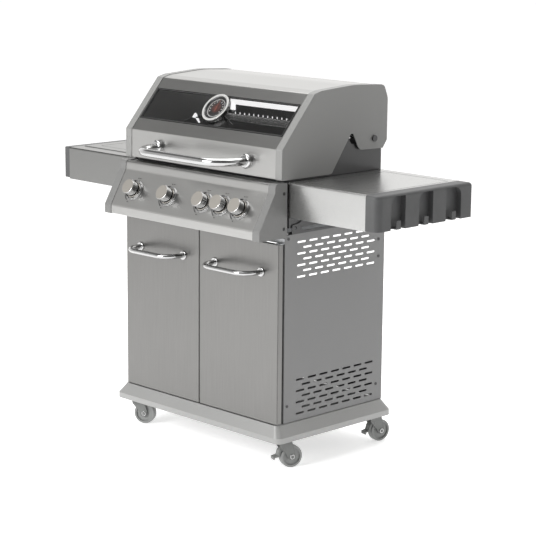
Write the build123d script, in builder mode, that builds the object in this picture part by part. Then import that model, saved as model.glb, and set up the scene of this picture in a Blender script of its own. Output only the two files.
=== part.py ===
"""Four-burner gas barbecue grill on a cabinet trolley, with a side burner.

Millimetres. +X is the user's right when they stand in front, +Y points to the back, +Z is up.
The pieces are laid out about the centre of the base. save() then shifts them all so that the origin
lies on the floor at the centre of the whole grill's plan.
"""

import os
from math import atan2, cos, degrees, hypot, radians, sin

from build123d import *

os.makedirs("parts", exist_ok=True)

# ---------------------------------------------------------------- driving dimensions
SHEET = 1.2  # stainless and painted sheet
BODY_X = 350.0  # half width of the cabinet
GROUND_Z = 8.0  # floor that the casters stand on, in the layout
FLOOR_Z = 97.0  # underside of the base tray
DECK_Z = 146.5  # top of the base tray
CABINET_FRONT = -205.0
CABINET_REAR = 233.0
CABINET_TOP = 726.0
WORKTOP_Z = 885.0  # top of the side shelves
CAP_X = 354.0  # outer faces of the hood's and panel's end caps
HOOD_RIM = 27.0  # visible width of a hood end cap
PANEL_RIM = 30.0  # visible width of a panel end cap
HINGE_Y, HINGE_Z = 172.0, 985.0  # hood's hinge axis, along X
SHELF_FRONT, SHELF_REAR = -196.0, 220.0
SHELF_END_X = 708.0  # outer faces of the shelf end caps
DOOR_FRONT = -231.5
DOOR_BACK = -213.0
DOOR_BOTTOM, DOOR_TOP = 149.0, 700.0
DOOR_PIVOT_X, DOOR_PIVOT_Y = 340.0, -218.0
BURNER_X = (-242.0, -81.0, 81.0, 242.0)
SIDE_VALVE_X = 161.0
BURNER_Z = 790.0
WHEEL_R = 35.0
AXLE_Z = GROUND_Z + WHEEL_R
STEM_X, STEM_Y = 338.0, 201.0
TRAIL = 30.0  # from a caster's stem to its wheel's centre
# heading, in degrees, in which each caster trails
CASTERS = {
    "front_left": (-STEM_X, -STEM_Y, 30.0),
    "front_right": (STEM_X, -STEM_Y, 68.0),
    "rear_left": (-STEM_X, STEM_Y, 55.0),
    "rear_right": (STEM_X, STEM_Y, 78.0),
}
CENTRE_SHIFT_Y = 41.0  # from the centre of the base to the centre of the whole plan

# ---------------------------------------------------------------- side outlines, as (y, z)
# Each outline is a list of (y, z, corner radius).
HOOD_KNEE = (-225.0, 982.5)
HOOD_BROW = (-91.0, 1138.8)
HOOD_OUTLINE = [
    (-226.0, 892.0, 3.0),
    (-225.0, 982.5, 6.0),
    (-91.0, 1138.8, 12.0),
    (-62.0, 1146.0, 20.0),
    (80.0, 1155.0, 400.0),
    (214.0, 1148.0, 20.0),
    (231.0, 1108.0, 40.0),
    (230.6, 976.0, 8.0),
    (212.0, 952.0, 3.0),
    (105.0, 954.5, 26.0),
    (74.0, 1016.0, 9.0),
    (-14.0, 893.0, 14.0),
    (-26.0, 892.0, 2.0),
]
RIM_END_Z = 1060.0  # the hood's rear lip
PANEL_OUTLINE = [
    (-202.0, 884.0, 1.0),
    (-250.5, 885.0, 11.0),
    (-252.5, 857.0, 12.0),
    (-315.5, 748.0, 12.0),
    (-315.5, 720.0, 2.0),
    (-202.0, 720.0, 1.0),
]
PANEL_FACE_TOP = (-252.5, 857.0)
PANEL_FACE_BOTTOM = (-315.5, 748.0)


def unit(a, b):
    """Unit vector from a to b in the (y, z) plane."""
    length = hypot(b[0] - a[0], b[1] - a[1])
    return (b[0] - a[0]) / length, (b[1] - a[1]) / length


# Outward normals of the sloping control panel and of the hood's window
PANEL_DIR = unit(PANEL_FACE_BOTTOM, PANEL_FACE_TOP)
PANEL_NORMAL = (0.0, -PANEL_DIR[1], PANEL_DIR[0])
WINDOW_DIR = unit(HOOD_KNEE, HOOD_BROW)
WINDOW_NORMAL = (0.0, -WINDOW_DIR[1], WINDOW_DIR[0])


def panel_plane(x, along=61.0, out=0.0):
    """Plane on the control panel's slope: along is measured up from its lower bend, out along its normal."""
    y = PANEL_FACE_BOTTOM[0] + PANEL_DIR[0] * along + PANEL_NORMAL[1] * out
    z = PANEL_FACE_BOTTOM[1] + PANEL_DIR[1] * along + PANEL_NORMAL[2] * out
    return Plane(origin=(x, y, z), x_dir=(1, 0, 0), z_dir=PANEL_NORMAL)


def window_plane(x, along, out=0.0):
    """Plane on the hood's slope: along is measured up from the knee, out along its normal."""
    y = HOOD_KNEE[0] + WINDOW_DIR[0] * along + WINDOW_NORMAL[1] * out
    z = HOOD_KNEE[1] + WINDOW_DIR[1] * along + WINDOW_NORMAL[2] * out
    return Plane(origin=(x, y, z), x_dir=(1, 0, 0), z_dir=WINDOW_NORMAL)


def save(piece, name):
    """Shift a finished piece to the whole grill's origin, label it and write its STEP file."""
    moved = piece.moved(Location((0, CENTRE_SHIFT_Y, -GROUND_Z)))
    moved.label = name
    export_step(moved, f"parts/{name}.step")


def outline_bar(outline, x0, x1, inset=0.0):
    """Solid between two planes across X with a closed (y, z) outline, drawn inset by a wall's thickness."""
    with BuildPart() as bar:
        with BuildSketch(Plane.YZ.offset(x0)):
            with BuildLine():
                FilletPolyline(
                    *[(y, z) for y, z, r in outline],
                    radius=[r for y, z, r in outline],
                    close=True,
                )
            make_face()
            if inset:
                offset(amount=-inset, kind=Kind.INTERSECTION)
        extrude(amount=x1 - x0, dir=(1, 0, 0))
    return bar.part


def bent_sheet(points, radii, thickness, x0, x1, side=Side.RIGHT):
    """A sheet bent along an open (y, z) line, from x0 to x1."""
    with BuildPart() as sheet:
        with BuildSketch(Plane.YZ.offset(x0)):
            with BuildLine():
                FilletPolyline(*points, radius=radii)
                offset(amount=thickness, side=side)
            make_face()
        extrude(amount=x1 - x0, dir=(1, 0, 0))
    return sheet.part


def mirrored(piece):
    """The left-hand copy of a right-hand piece."""
    with BuildPart() as copy:
        add(mirror(piece, about=Plane.YZ))
    return copy.part


def span_box(x0, x1, y0, y1, z0, z1, mode=Mode.ADD):
    """Box between two corners, inside the current part."""
    with Locations(((x0 + x1) / 2, (y0 + y1) / 2, (z0 + z1) / 2)):
        return Box(x1 - x0, y1 - y0, z1 - z0, mode=mode)


# ---------------------------------------------------------------- base tray
LIP_H = 17.0
BASE_X, BASE_Y = 378.0, 253.5
BASE_CORNER, DECK_CORNER = 20.0, 14.0
DECK_X, DECK_FRONT = 353.0, -235.0
UNDER_FLANGE = 78.0  # width of the flange that the casters bolt to

with BuildPart() as base_tray:
    for wall in (0.0, 1.6):
        mode = Mode.SUBTRACT if wall else Mode.ADD
        low = FLOOR_Z + wall
        with BuildSketch(Plane.XY.offset(low)):
            RectangleRounded(2 * (BASE_X - wall), 2 * (BASE_Y - wall), BASE_CORNER - wall)
        extrude(amount=LIP_H - wall, mode=mode)
        with BuildSketch(Plane.XY.offset(FLOOR_Z + LIP_H)):
            RectangleRounded(2 * (BASE_X - wall), 2 * (BASE_Y - wall), BASE_CORNER - wall)
        with BuildSketch(Plane.XY.offset(DECK_Z - wall)):
            RectangleRounded(2 * (DECK_X - wall), 2 * (-DECK_FRONT - wall), DECK_CORNER - wall)
        loft(mode=mode)
    span_box(
        -BASE_X + UNDER_FLANGE,
        BASE_X - UNDER_FLANGE,
        -BASE_Y + UNDER_FLANGE,
        BASE_Y - UNDER_FLANGE,
        FLOOR_Z - 1,
        FLOOR_Z + 3,
        mode=Mode.SUBTRACT,
    )
save(base_tray.part, "base_tray")

# ---------------------------------------------------------------- cabinet
SLOT_L, SLOT_H = 36.0, 6.0
SLOT_PITCH = 51.0
SLOT_MID_Y = 18.0
SLOT_ROWS = 7
ROW_PITCH = 17.7
UPPER_ROW_Z, LOWER_ROW_Z = 700.0, 276.0
FLANGE = 15.0


def slot_places():
    """Centres of the vent slots: rows of seven and six, one above the other, in two banks."""
    places = []
    for top in (UPPER_ROW_Z, LOWER_ROW_Z):
        for row in range(SLOT_ROWS):
            count = 7 - row % 2
            for i in range(count):
                y = SLOT_MID_Y + (i - (count - 1) / 2) * SLOT_PITCH
                places.append((y, top - row * ROW_PITCH))
    return places


with BuildPart() as side_panel_right:
    span_box(BODY_X - FLANGE, BODY_X, CABINET_FRONT, CABINET_REAR, DECK_Z + 0.5, CABINET_TOP)
    span_box(
        BODY_X - FLANGE - 1,
        BODY_X - SHEET,
        CABINET_FRONT + SHEET,
        CABINET_REAR - SHEET,
        DECK_Z + 0.5 + SHEET,
        CABINET_TOP - SHEET,
        mode=Mode.SUBTRACT,
    )
    with BuildSketch(Plane.YZ.offset(BODY_X - 5)):
        with Locations(*slot_places()):
            SlotOverall(SLOT_L, SLOT_H)
    extrude(amount=10, mode=Mode.SUBTRACT)
    # notch that the control panel's end cap reaches into
    span_box(BODY_X - 20, BODY_X + 1, CABINET_FRONT - 1, -201.5, 719.5, CABINET_TOP + 1, mode=Mode.SUBTRACT)
save(side_panel_right.part, "side_panel_right")
save(mirrored(side_panel_right.part), "side_panel_left")

BACK_TOP = 470.0
BACK_Y = CABINET_REAR - SHEET
with BuildPart() as back_panel:
    span_box(-BODY_X + 2, BODY_X - 2, BACK_Y - SHEET, BACK_Y, DECK_Z + 2, BACK_TOP)
    span_box(-BODY_X + 20, BODY_X - 20, BACK_Y - 14, BACK_Y - SHEET, BACK_TOP - SHEET, BACK_TOP)
save(back_panel.part, "back_panel")

RAIL_Z = 700.0
with BuildPart() as front_rail:
    span_box(-BODY_X + SHEET, BODY_X - SHEET, CABINET_FRONT + SHEET, -190, RAIL_Z, RAIL_Z + 16)
    span_box(-BODY_X, BODY_X, CABINET_FRONT + 2 * SHEET, -190 - SHEET, RAIL_Z + SHEET, RAIL_Z + 14.8, mode=Mode.SUBTRACT)
save(front_rail.part, "front_rail")

with BuildPart() as rear_rail:
    span_box(-BODY_X + SHEET, BODY_X - SHEET, BACK_Y - 18, BACK_Y, 690, 704)
    span_box(-BODY_X, BODY_X, BACK_Y - 18 + SHEET, BACK_Y - SHEET, 690 - 1, 704 - SHEET, mode=Mode.SUBTRACT)
save(rear_rail.part, "rear_rail")

# Four door hinges: an ear fixed to the cabinet and a vertical pin
PIN_R = 3.0
EAR_GAP = 1.0
with BuildPart() as door_hinges:
    for side in (-1, 1):
        ear_x = sorted((side * 328, side * 349))
        span_box(*ear_x, DOOR_PIVOT_Y - 7, CABINET_FRONT, DOOR_TOP + EAR_GAP, DOOR_TOP + EAR_GAP + 2)
        span_box(*ear_x, CABINET_FRONT - 1.5, CABINET_FRONT, DOOR_TOP + EAR_GAP, DOOR_TOP + 16)
        span_box(*ear_x, DOOR_PIVOT_Y - 8, CABINET_FRONT - 1, DECK_Z, DECK_Z + 1.5)
        with Locations((side * DOOR_PIVOT_X, DOOR_PIVOT_Y, DOOR_TOP + EAR_GAP - 11 / 2)):
            Cylinder(PIN_R, 11 + EAR_GAP)
        with Locations((side * DOOR_PIVOT_X, DOOR_PIVOT_Y, DECK_Z + 1 + 13 / 2)):
            Cylinder(PIN_R, 13)
save(door_hinges.part, "door_hinges")

with BuildPart() as door_magnets:
    for side in (-1, 1):
        span_box(*sorted((side * 22, side * 62)), DOOR_BACK + 0.5, -191, RAIL_Z - 14, RAIL_Z)
save(door_magnets.part, "door_magnets")

# ---------------------------------------------------------------- doors
DOOR_INNER_X, DOOR_OUTER_X = 0.8, 349.0
BUSH_R = 6.0

with BuildPart() as door_right:
    with BuildSketch(Plane.XY.offset(DOOR_BOTTOM)) as door_plan:
        with Locations(((DOOR_INNER_X + DOOR_OUTER_X) / 2, (DOOR_FRONT + DOOR_BACK) / 2)):
            Rectangle(DOOR_OUTER_X - DOOR_INNER_X, DOOR_BACK - DOOR_FRONT)
        fillet(door_plan.vertices().group_by(Axis.Y)[0], radius=5)
    extrude(amount=DOOR_TOP - DOOR_BOTTOM)
    span_box(
        DOOR_INNER_X + SHEET,
        DOOR_OUTER_X - SHEET,
        DOOR_FRONT + SHEET,
        DOOR_BACK + 1,
        DOOR_BOTTOM + SHEET,
        DOOR_TOP - SHEET,
        mode=Mode.SUBTRACT,
    )
    # inner liner, and the two bushes that the hinge pins enter
    span_box(
        DOOR_INNER_X + SHEET,
        DOOR_OUTER_X - SHEET,
        DOOR_BACK - 1,
        DOOR_BACK,
        DOOR_BOTTOM + SHEET,
        DOOR_TOP - SHEET,
    )
    for z0 in (DOOR_BOTTOM + SHEET, DOOR_TOP - SHEET - 14):
        with BuildSketch(Plane.XY.offset(z0)):
            with Locations((DOOR_PIVOT_X, DOOR_PIVOT_Y + 0.4)):
                Rectangle(2 * BUSH_R, 2 * BUSH_R - 2)
        extrude(amount=14)
    with Locations((DOOR_PIVOT_X, DOOR_PIVOT_Y, DOOR_BOTTOM), (DOOR_PIVOT_X, DOOR_PIVOT_Y, DOOR_TOP)):
        Cylinder(PIN_R + 0.05, 2 * 13.5, mode=Mode.SUBTRACT)
save(door_right.part, "door_right")
save(mirrored(door_right.part), "door_left")


def bow_handle(mid_x, z, face_y, half, reach, bend, tube_r, rose_r, rose_t):
    """Tube handle bent at both ends, standing on two rosettes on a face that looks along -Y."""
    foot_y = face_y - rose_t
    with BuildPart() as handle:
        with BuildLine(Plane.XY.offset(z)) as path:
            FilletPolyline(
                (mid_x - half, foot_y),
                (mid_x - half, face_y - reach),
                (mid_x + half, face_y - reach),
                (mid_x + half, foot_y),
                radius=bend,
            )
        with BuildSketch(Plane(origin=(mid_x - half, foot_y, z), z_dir=(0, -1, 0))):
            Circle(tube_r)
        sweep(path=path.wires()[0])
    roses = []
    for x in (mid_x - half, mid_x + half):
        with BuildPart() as rose:
            with BuildSketch(Plane(origin=(x, face_y, z), z_dir=(0, -1, 0))):
                Circle(rose_r)
            extrude(amount=rose_t)
            fillet(rose.edges().group_by(Axis.Y)[0], radius=rose_t * 0.45)
        roses.append(rose.part)
    return Compound(children=[handle.part] + roses)


DOOR_HANDLE_X, DOOR_HANDLE_Z = 174.5, 610.0
for side, name in ((-1, "left"), (1, "right")):
    door_handle = bow_handle(side * DOOR_HANDLE_X, DOOR_HANDLE_Z, DOOR_FRONT, 102, 69, 50, 7.5, 14.5, 5)
    save(door_handle, f"door_handle_{name}")

# ---------------------------------------------------------------- firebox
BOX_X = 346.0
BOX_FRONT, BOX_REAR = -186.0, 214.0
BOX_BOTTOM, BOX_FRONT_TOP = 745.0, 889.0
BOX_SIDE_TOP = 1008.0
BOX_T = 2.0
RAIL_HALF = 306.0  # half length of the rear wall's raised rail
REAR_RAIL_TOP = 1029.0
GRATE_LEDGE_Z = 866.0
TAMER_LEDGE_Z = 822.0
GREASE_X, GREASE_Y0, GREASE_Y1 = 250.0, -100.0, 150.0
BURNER_R = 12.7
HINGE_BOLT_R = 6.0

with BuildPart() as firebox:
    # side plates dip behind the notch in the hood's end caps, and rise to carry its hinge bolts
    with BuildSketch(Plane.YZ.offset(BOX_X - BOX_T)):
        with BuildLine():
            Polyline(
                (BOX_FRONT, BOX_BOTTOM),
                (BOX_FRONT, BOX_FRONT_TOP),
                (-62, BOX_FRONT_TOP),
                (14, 984),
                (50, 995),
                (65, 992),
                (79, 974.5),
                (97, 974.5),
                (123, BOX_SIDE_TOP),
                (BOX_REAR, BOX_SIDE_TOP),
                (BOX_REAR, BOX_BOTTOM),
                close=True,
            )
        make_face()
    extrude(amount=BOX_T)
    mirror(about=Plane.YZ)
    span_box(-BOX_X, BOX_X, BOX_FRONT, BOX_FRONT + BOX_T, BOX_BOTTOM, BOX_FRONT_TOP)
    span_box(-BOX_X, BOX_X, BOX_REAR - BOX_T, BOX_REAR, BOX_BOTTOM, 1010)
    span_box(-RAIL_HALF, RAIL_HALF, BOX_REAR - BOX_T, BOX_REAR, 1009, REAR_RAIL_TOP)
    span_box(-BOX_X, BOX_X, BOX_FRONT, BOX_REAR, BOX_BOTTOM, BOX_BOTTOM + BOX_T)
    span_box(-GREASE_X, GREASE_X, GREASE_Y0, GREASE_Y1, BOX_BOTTOM - 1, BOX_BOTTOM + 5, mode=Mode.SUBTRACT)
    for ledge_z in (GRATE_LEDGE_Z, TAMER_LEDGE_Z):
        span_box(-BOX_X + 1, BOX_X - 1, BOX_FRONT + 1, BOX_FRONT + 14, ledge_z, ledge_z + BOX_T)
        span_box(-BOX_X + 1, BOX_X - 1, BOX_REAR - 14, BOX_REAR - 1, ledge_z, ledge_z + BOX_T)
    # runners that the drip tray's lips slide on
    for side in (-1, 1):
        web = sorted((side * 277.0, side * 278.5))
        foot = sorted((side * 264.0, side * 278.5))
        span_box(*web, -115, 205, 735.5, BOX_BOTTOM)
        span_box(*foot, -115, 205, 735.5, 737)
    # vent slots under the rear rail
    with BuildSketch(Plane.XZ.offset(-BOX_REAR - 1)):
        with Locations((0, 999)):
            with GridLocations(22, 1, 29, 1):
                SlotOverall(12, 6, rotation=90)
    extrude(amount=5, mode=Mode.SUBTRACT)
    # burner mouths in the front wall, and the hood's hinge bolts in the side plates
    with BuildSketch(Plane.XZ.offset(-BOX_FRONT + 1)):
        with Locations(*[(x, BURNER_Z) for x in BURNER_X]):
            Circle(BURNER_R + 0.8)
    extrude(amount=-5, mode=Mode.SUBTRACT)
    with BuildSketch(Plane.YZ):
        with Locations((HINGE_Y, HINGE_Z)):
            Circle(HINGE_BOLT_R + 0.2)
    extrude(amount=BOX_X + 5, both=True, mode=Mode.SUBTRACT)
save(firebox.part, "firebox")

# Rails that tie the firebox and the side shelves to the cabinet
with BuildPart() as rails:
    with BuildSketch(Plane.YZ.offset(BOX_X + 2)):
        with BuildLine():
            FilletPolyline(
                (-176, CABINET_TOP),
                (-176, 754),
                (-150, 757),
                (-116, 772),
                (205, 772),
                (205, CABINET_TOP),
                radius=[0.5, 6, 6, 6, 3, 0.5],
                close=True,
            )
        make_face()
        with Locations((-161.9, 744.7)):
            Circle(4.5, mode=Mode.SUBTRACT)
        with Locations((-74, 748), (70, 748)):
            RectangleRounded(124, 28, 12, mode=Mode.SUBTRACT)
        with Locations((165, 748)):
            Circle(6, mode=Mode.SUBTRACT)
    extrude(amount=2)
    span_box(BOX_X - 22, BOX_X + 4, -176, 205, CABINET_TOP, CABINET_TOP + 2)
    mirror(about=Plane.YZ)
save(rails.part, "firebox_rails")

with BuildPart() as hood_hinge_bolts:
    with BuildSketch(Plane.YZ.offset(BOX_X - 12)):
        with Locations((HINGE_Y, HINGE_Z)):
            Circle(HINGE_BOLT_R)
    extrude(amount=CAP_X - BOX_X + 12 + 1)
    for x0, x1, r in ((BOX_X - 12, BOX_X - BOX_T, 10.0), (BOX_X, BOX_X + 5, 9.0), (CAP_X + 0.5, CAP_X + 5, 10.0)):
        with BuildSketch(Plane.YZ.offset(x0)):
            with Locations((HINGE_Y, HINGE_Z)):
                RegularPolygon(r, 6) if x1 < BOX_X else Circle(r)
        extrude(amount=x1 - x0)
    mirror(about=Plane.YZ)
save(hood_hinge_bolts.part, "hood_hinge_bolts")

# ---------------------------------------------------------------- burners and cooking surfaces
BURNER_FRONT, BURNER_BACK = -205.0, 194.0

with BuildPart() as burners:
    for x in BURNER_X:
        with BuildSketch(Plane.XZ.offset(-BURNER_FRONT)):
            with Locations((x, BURNER_Z)):
                Circle(BURNER_R)
        extrude(amount=BURNER_FRONT - BURNER_BACK)
        with BuildSketch(Plane.XZ.offset(-BURNER_FRONT)):
            with Locations((x, BURNER_Z)):
                Circle(BURNER_R - 1.0)
        extrude(amount=BURNER_FRONT - BURNER_BACK + 2, mode=Mode.SUBTRACT)
        span_box(x - 6, x + 6, BURNER_BACK - 1, BOX_REAR - BOX_T, BURNER_Z - 1, BURNER_Z + 1)
        with BuildSketch(Plane.XY.offset(BURNER_Z + 5)):
            with Locations((x, 20)):
                with GridLocations(1, 18, 1, 16):
                    Circle(1.6)
        extrude(amount=12, mode=Mode.SUBTRACT)
save(burners.part, "burners")

TAMER_HALF = 52.0
TAMER_RISE = 26.0
with BuildPart() as flame_tamers:
    for x in BURNER_X:
        with BuildSketch(Plane.XZ.offset(-(BOX_FRONT + BOX_T + 1))):
            with BuildLine():
                low = TAMER_LEDGE_Z + BOX_T
                FilletPolyline((x - TAMER_HALF, low), (x, low + TAMER_RISE), (x + TAMER_HALF, low), radius=8)
                offset(amount=1.2, side=Side.LEFT)
            make_face()
        extrude(amount=-(BOX_REAR - BOX_FRONT - 2 * BOX_T - 2))
        for end in (BOX_FRONT + 8, BOX_REAR - 8):
            span_box(x - 20, x + 20, end - 5, end + 5, low, low + 1.2)
            span_box(x - 2, x + 2, end - 5, end + 5, low + 0.6, low + TAMER_RISE - 1)
save(flame_tamers.part, "flame_tamers")

GRATE_Z = GRATE_LEDGE_Z + BOX_T
GRATE_H = 12.0
GRATE_Y0, GRATE_Y1 = BOX_FRONT + 4, BOX_REAR - 4
BARS = 16
with BuildPart() as cooking_grate_right:
    for i in range(BARS):
        x = 6 + i * 21.6
        span_box(x - 4, x + 4, GRATE_Y0, GRATE_Y1, GRATE_Z, GRATE_Z + GRATE_H)
    for y in (GRATE_Y0 + 4, -60, 88, GRATE_Y1 - 4):
        span_box(2, 334, y - 4, y + 4, GRATE_Z, GRATE_Z + GRATE_H - 3)
save(cooking_grate_right.part, "cooking_grate_right")
save(mirrored(cooking_grate_right.part), "cooking_grate_left")

RACK_Z = 998.0
RACK_Y0, RACK_Y1 = 72.0, 192.0
WIRE_R = 2.2
RACK_END_X = 338.0
with BuildPart() as warming_rack:
    for y in (RACK_Y0, (RACK_Y0 + RACK_Y1) / 2, RACK_Y1):
        with BuildSketch(Plane.YZ.offset(-RACK_END_X)):
            with Locations((y, RACK_Z)):
                Circle(WIRE_R + 0.6)
        extrude(amount=2 * RACK_END_X)
    for i in range(31):
        x = -324 + i * 21.6
        with BuildSketch(Plane.XZ.offset(-RACK_Y1)):
            with Locations((x, RACK_Z + 1.5)):
                Circle(WIRE_R)
        extrude(amount=RACK_Y1 - RACK_Y0)
    for side in (-1, 1):
        plate_x = sorted((side * (BOX_X - BOX_T), side * (RACK_END_X - 3)))
        for y0, y1 in ((RACK_Y0 - 6, HINGE_Y - 25), (HINGE_Y + 14, RACK_Y1 + 4)):
            span_box(*plate_x, y0, y1, RACK_Z - 6, RACK_Z - 2)
save(warming_rack.part, "warming_rack")

TRAY_Z0, TRAY_Z1 = 708.0, 741.0
with BuildPart() as drip_tray:
    span_box(-262, 262, -112, 216, TRAY_Z0, TRAY_Z1)
    span_box(-260.8, 260.8, -110.8, 214.8, TRAY_Z0 + SHEET, TRAY_Z1 + 1, mode=Mode.SUBTRACT)
    span_box(-276, -262, -112, 216, TRAY_Z1 - SHEET, TRAY_Z1)
    span_box(262, 276, -112, 216, TRAY_Z1 - SHEET, TRAY_Z1)
    span_box(-60, 60, 216, 240, TRAY_Z1 - 14, TRAY_Z1 - 12)
save(drip_tray.part, "drip_tray")

# ---------------------------------------------------------------- control panel
FASCIA_X = CAP_X - PANEL_RIM - 0.5
KNOB_X = sorted(BURNER_X + (SIDE_VALVE_X,))
FASCIA_LINE = [(-203, 883.0), (-249.5, 883.8), (-251.4, 857.2), (-314.2, 748.3), (-314.2, 721.2), (-290, 721.2)]

with BuildPart() as panel_fascia:
    add(bent_sheet(FASCIA_LINE, [10, 11, 11, 1.6], SHEET, -FASCIA_X, FASCIA_X, Side.LEFT))
    for x in KNOB_X:
        with BuildSketch(panel_plane(x, out=5)):
            Circle(6)
        extrude(amount=-12, mode=Mode.SUBTRACT)
save(panel_fascia.part, "panel_fascia")

with BuildPart() as panel_cap_right:
    add(outline_bar(PANEL_OUTLINE, CAP_X - PANEL_RIM, CAP_X))
    add(outline_bar(PANEL_OUTLINE, CAP_X - PANEL_RIM - 1, CAP_X - 2.5, inset=2.5), mode=Mode.SUBTRACT)
    # screw sockets in the outer face
    with BuildSketch(Plane.YZ.offset(CAP_X + 1)):
        with Locations((-215.5, 853), (-214, 749)):
            Circle(4)
    extrude(amount=-2.4, mode=Mode.SUBTRACT)
save(panel_cap_right.part, "panel_cap_right")
save(mirrored(panel_cap_right.part), "panel_cap_left")

# Manifold with one valve for each knob and the gas inlet at its right-hand end
MANIFOLD_R = 9.0
INLET_X = 300.0
INLET_Y = -165.0
INLET_R = 6.6
INLET_BOTTOM = 690.0
valve_plane = panel_plane(0, out=-28.0)
stem_far = panel_plane(0, out=-52.0)
MANIFOLD_Y, MANIFOLD_Z = stem_far.origin.Y, stem_far.origin.Z

with BuildPart() as gas_manifold:
    with BuildLine() as pipe:
        FilletPolyline(
            (-262, MANIFOLD_Y, MANIFOLD_Z),
            (INLET_X, MANIFOLD_Y, MANIFOLD_Z),
            (INLET_X, MANIFOLD_Y, 731),
            (INLET_X, INLET_Y, 731),
            (INLET_X, INLET_Y, 706),
            radius=14,
        )
    with BuildSketch(Plane(origin=(-262, MANIFOLD_Y, MANIFOLD_Z), z_dir=(1, 0, 0))):
        Circle(MANIFOLD_R)
    sweep(path=pipe.wires()[0])
    for x in KNOB_X:
        with BuildSketch(panel_plane(x, out=-14)):
            RectangleRounded(22, 24, 4)
        extrude(amount=-32)
        with BuildSketch(panel_plane(x, out=-15)):
            Circle(4)
        extrude(amount=17 + 15)
        if x != SIDE_VALVE_X:
            with BuildSketch(Plane.XZ.offset(250)):
                with Locations((x, BURNER_Z)):
                    Circle(4)
            extrude(amount=-52)
    # hexagon collar, then the threaded spigot that a hose screws onto
    with BuildSketch(Plane.XY.offset(706)):
        with Locations((INLET_X, INLET_Y)):
            RegularPolygon(11, 6)
    extrude(amount=7)
    with BuildSketch(Plane.XY.offset(INLET_BOTTOM)):
        with Locations((INLET_X, INLET_Y)):
            Circle(INLET_R)
    extrude(amount=17)
save(gas_manifold.part, "gas_manifold")

BEZEL_R = 34.0
with BuildPart() as knob_bezels:
    for x in KNOB_X:
        with BuildSketch(panel_plane(x, out=-0.1)):
            Circle(BEZEL_R)
            Circle(8, mode=Mode.SUBTRACT)
        extrude(amount=2.1)
        with BuildSketch(panel_plane(x, out=1)):
            Circle(BEZEL_R)
            Circle(BEZEL_R - 4.5, mode=Mode.SUBTRACT)
        extrude(amount=7, taper=12)
save(knob_bezels.part, "knob_bezels")

KNOB_R = 24.0
KNOB_TOP = 34.0
for number, x in enumerate(KNOB_X, start=1):
    with BuildPart() as knob:
        with BuildSketch(panel_plane(x, out=3.2)):
            Circle(KNOB_R + 2.6)
        extrude(amount=2.6)
        with BuildSketch(panel_plane(x, out=5)):
            Circle(KNOB_R + 0.8)
        extrude(amount=KNOB_TOP - 5, taper=1.5)
        fillet(knob.edges().sort_by(Axis((0, 0, 0), PANEL_NORMAL))[-1], radius=1.4)
        with BuildSketch(panel_plane(x, out=2)):
            Circle(4.05)
        extrude(amount=16, mode=Mode.SUBTRACT)
    save(knob.part, f"knob_{number}")

# ---------------------------------------------------------------- hood
HOOD_IN = 1.2  # the skin lies this far inside the caps' outline
SKIN_X = CAP_X - HOOD_RIM - 0.5
WINDOW_X = 322.0
WINDOW_A0, WINDOW_A1 = 45.0, 165.0  # measured up the slope from the knee
CAP_T = 2.5

with BuildPart() as hood_skin:
    add(outline_bar(HOOD_OUTLINE, -SKIN_X, SKIN_X, inset=HOOD_IN))
    add(outline_bar(HOOD_OUTLINE, -SKIN_X - 1, SKIN_X + 1, inset=HOOD_IN + SHEET), mode=Mode.SUBTRACT)
    # the underside and the lower part of the rear are open
    span_box(-SKIN_X - 1, SKIN_X + 1, -222, 240, 880, 975, mode=Mode.SUBTRACT)
    span_box(-SKIN_X - 1, SKIN_X + 1, -60, 240, 970, RIM_END_Z, mode=Mode.SUBTRACT)
    with BuildSketch(window_plane(0, (WINDOW_A0 + WINDOW_A1) / 2, out=5)):
        Rectangle(2 * WINDOW_X + 2, WINDOW_A1 - WINDOW_A0)
    extrude(amount=-12, mode=Mode.SUBTRACT)
save(hood_skin.part, "hood_skin")

with BuildPart() as hood_cap_right:
    add(outline_bar(HOOD_OUTLINE, CAP_X - HOOD_RIM, CAP_X))
    add(outline_bar(HOOD_OUTLINE, CAP_X - HOOD_RIM - 1, CAP_X - CAP_T, inset=CAP_T), mode=Mode.SUBTRACT)
    # only the face plate goes on below the hinge and below the rear lip
    span_box(CAP_X - HOOD_RIM - 1, CAP_X - CAP_T, -221, 240, 880, 985, mode=Mode.SUBTRACT)
    span_box(CAP_X - HOOD_RIM - 1, CAP_X - CAP_T, -60, 240, 970, RIM_END_Z, mode=Mode.SUBTRACT)
    with BuildSketch(Plane.YZ.offset(CAP_X - 5)):
        with Locations((HINGE_Y, HINGE_Z)):
            Circle(HINGE_BOLT_R + 0.06)
    extrude(amount=10, mode=Mode.SUBTRACT)
save(hood_cap_right.part, "hood_cap_right")
save(mirrored(hood_cap_right.part), "hood_cap_left")

GLASS_T = 4.0
with BuildPart() as hood_glass:
    with BuildSketch(window_plane(0, (WINDOW_A0 + WINDOW_A1) / 2, out=-1.0)):
        RectangleRounded(2 * WINDOW_X, WINDOW_A1 - WINDOW_A0 - 1.5, 2)
        with Locations((0, 109.5 - (WINDOW_A0 + WINDOW_A1) / 2)):
            Circle(24, mode=Mode.SUBTRACT)
    extrude(amount=-GLASS_T)
save(hood_glass.part, "hood_glass")

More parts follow.
